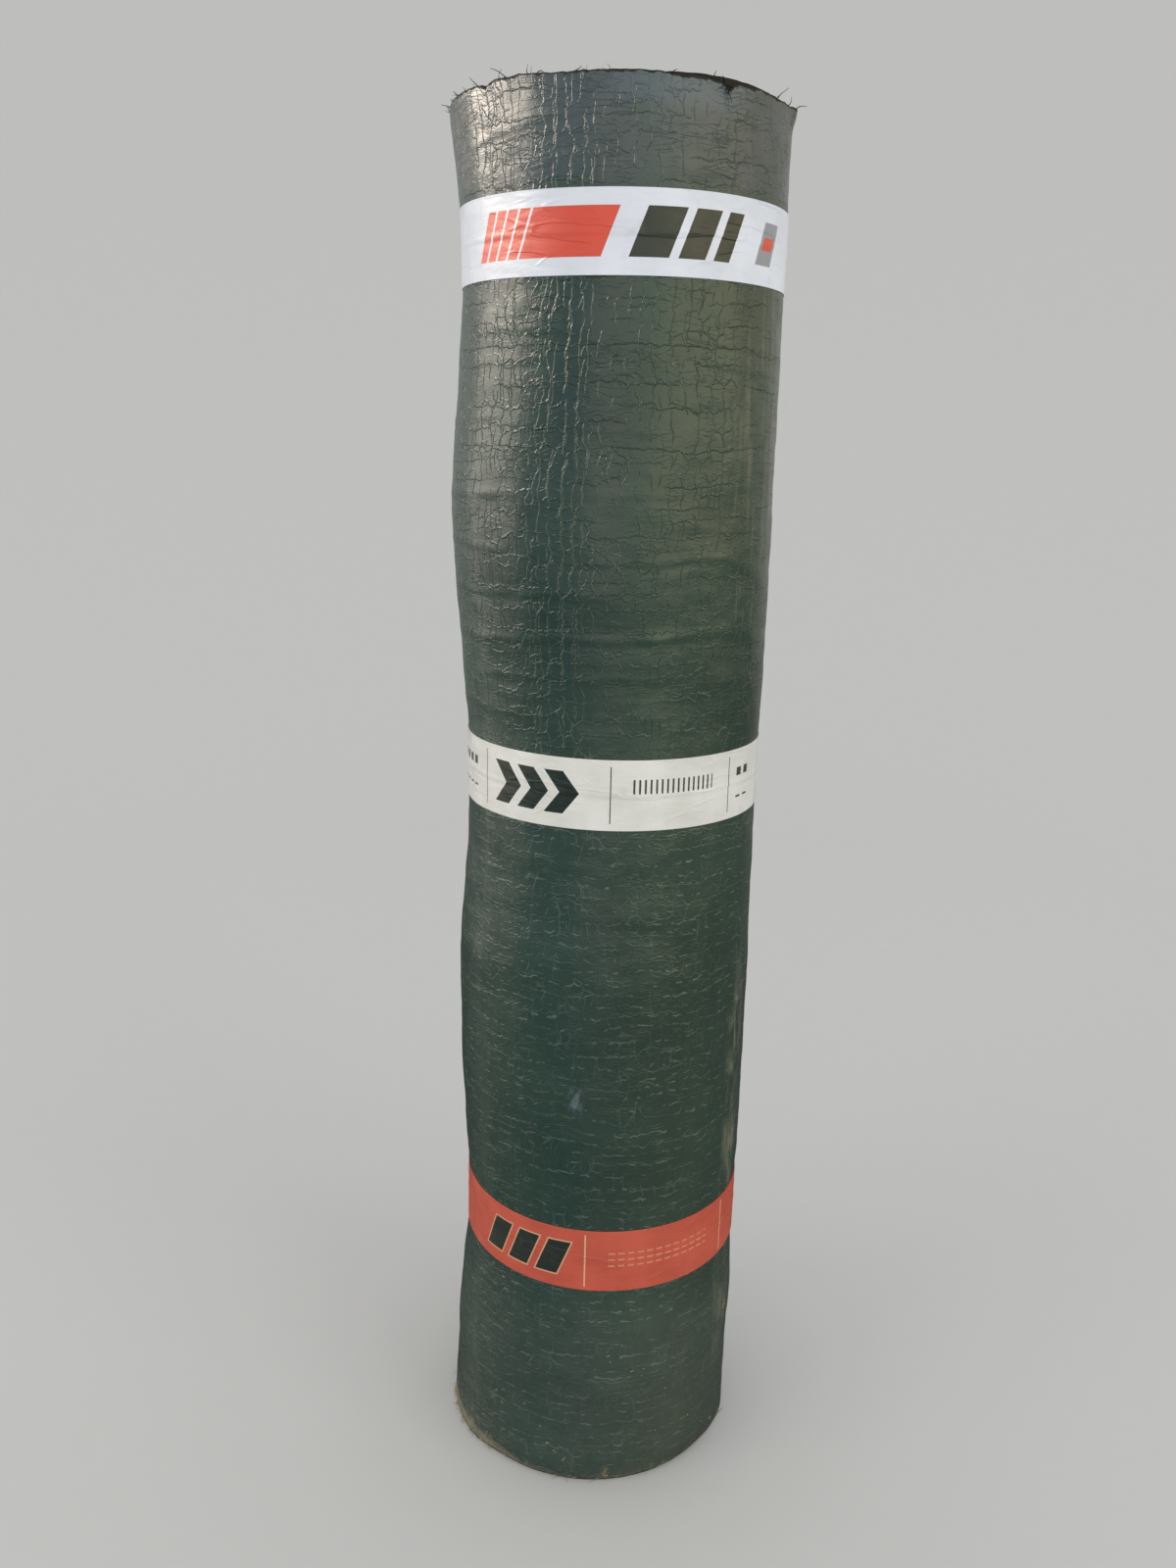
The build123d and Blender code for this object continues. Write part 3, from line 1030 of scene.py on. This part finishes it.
def studio():
    """A pale floor, and a pale wall all round that only the camera sees."""
    paper = plain_material("studio_paper", colour(214, 212, 208))
    start, bend, wall_top = 1.7, 1.5, 6.0
    floor = turned_stage("floor", [(0, 0), (0.6, 0), (start, 0)], paper)
    floor.visible_glossy = False
    rise = [(start + bend * sin(a), bend * (1 - cos(a))) for a in np.linspace(0, pi / 2, 25)]
    wall = turned_stage("wall", [*rise, (start + bend, wall_top)], paper)
    wall.visible_diffuse = wall.visible_glossy = wall.visible_shadow = False


def reflected_bands(n, share):
    """The colours that the gloss shows all round, by the share of a turn from +X."""
    bands = n.add("ValToRGB", {"Fac": share})
    stops = bands.color_ramp.elements
    for stop, (degrees, shade) in zip(stops, (REFLECTED[0], REFLECTED[-1])):
        stop.position, stop.color = degrees / 360, (*shade, 1)
    for degrees, shade in REFLECTED[1:-1]:
        stops.new(degrees / 360).color = (*shade, 1)
    return bands.outputs["Color"]


def soft_sky():
    """Even pale light all round. The gloss shows bands instead, dim low down except on the right,
    and brightest in a window on the left that is brighter the higher it is."""
    world = bpy.data.worlds.new("soft_sky")
    bpy.context.scene.world = world
    world.use_nodes = True
    n = Nodes(world.node_tree)
    shader = world.node_tree.nodes["Background"]
    x, y, z = n.parts(n.add("TexCoord").outputs["Generated"])
    share = n.every(n.math("DIVIDE", n.math("ARCTAN2", y, x), 2 * pi), 1.0)
    right = n.near(n.every(n.plus(share, 0.2), 1.0), 0.2, 0.08, 0.08)
    strength = n.ramp(z, n.plus(n.times(right, 0.24), -0.42), 0.05, 0.14, 1.0)
    window = n.math("MINIMUM", n.math("EXPONENT", n.times(n.minus(z, 0.113), 5.6)), 0.88)
    window = n.times(n.near(share, 0.490, 0.042, 0.02), n.minus(window, strength))
    strength = n.times(n.plus(strength, window), n.ramp(z, 0.35, 0.8, 1.0, 0.3))
    inputs = {0: reflected_bands(n, share), "Scale": strength}
    seen = n.add("VectorMath", inputs, operation="SCALE").outputs[0]
    glossy = n.add("LightPath").outputs["Is Glossy Ray"]
    n.put(shader.inputs["Color"], n.mix(glossy, (0.80, 0.82, 0.84, 1), seen))
    shader.inputs["Strength"].default_value = 0.9


def soft_light(name, place, size, power, tint, aim=(0, 0, 0.5), in_gloss=False):
    """A soft light that faces aim: it either lights the roll or shows in its gloss alone."""
    data = bpy.data.lights.new(name, "AREA")
    data.shape = "RECTANGLE"
    data.size, data.size_y = size
    data.energy = power
    data.color = tint
    lamp = bpy.data.objects.new(name, data)
    lamp.location = place
    lamp.rotation_euler = (Vector(aim) - Vector(place)).to_track_quat("-Z", "Y").to_euler()
    lamp.visible_camera = False
    lamp.visible_glossy, lamp.visible_diffuse = in_gloss, not in_gloss
    bpy.context.scene.collection.objects.link(lamp)


def photo_camera():
    """The camera as it stood for the photograph."""
    data = bpy.data.cameras.new("photo_camera")
    data.lens = LENS
    data.sensor_width = 36
    camera = bpy.data.objects.new("photo_camera", data)
    bpy.context.scene.collection.objects.link(camera)
    stand = Matrix.Translation(CAMERA_PLACE)
    for degrees, axis in ((PAN, "Z"), (90 + TILT, "X"), (LEAN, "Z")):
        stand = stand @ Matrix.Rotation(radians(degrees), 4, axis)
    camera.matrix_world = stand
    bpy.context.scene.camera = camera


# The whole scene

photo_camera()
studio()
soft_sky()
soft_light("key_light", (-3.0, -1.8, 2.2), (2.2, 2.6), 18, (1.0, 0.97, 0.92))
soft_light("fill_light", (2.7, -2.1, 2.4), (2.2, 2.4), 20, (0.94, 0.97, 1.0))
soft_light(
    "rim_light", (-0.52, -0.10, 1.065), (0.46, 0.12), 2.0, (1.0, 0.85, 0.72),
    aim=(-0.08, -0.08, 0.97), in_gloss=True,
)
bpy.context.scene.view_settings.view_transform = "Standard"

film, bitumen = crazed_film(), cut_bitumen()
outer_turn(film, bitumen)
inner_turns(bitumen, talc_face())
rim_frays(bitumen)
foot_straw(dry_straw())
for name, seat, seed, node, paint, ground, shade in (
    ("white_tape", TOP_TAPE, 71, "top_band", top_print, (238, 241, 247), (226, 229, 235)),
    ("cream_tape", MIDDLE_TAPE, 73, "middle_band", middle_print, (242, 240, 232), (229, 226, 216)),
    ("orange_tape", BOTTOM_TAPE, 79, "bottom_band", bottom_print, (216, 97, 75), (201, 87, 67)),
):
    print_material = tape_material(name + "_print", paint, colour(*ground), colour(*shade))
    tape(name, seat, seed, print_material, node)
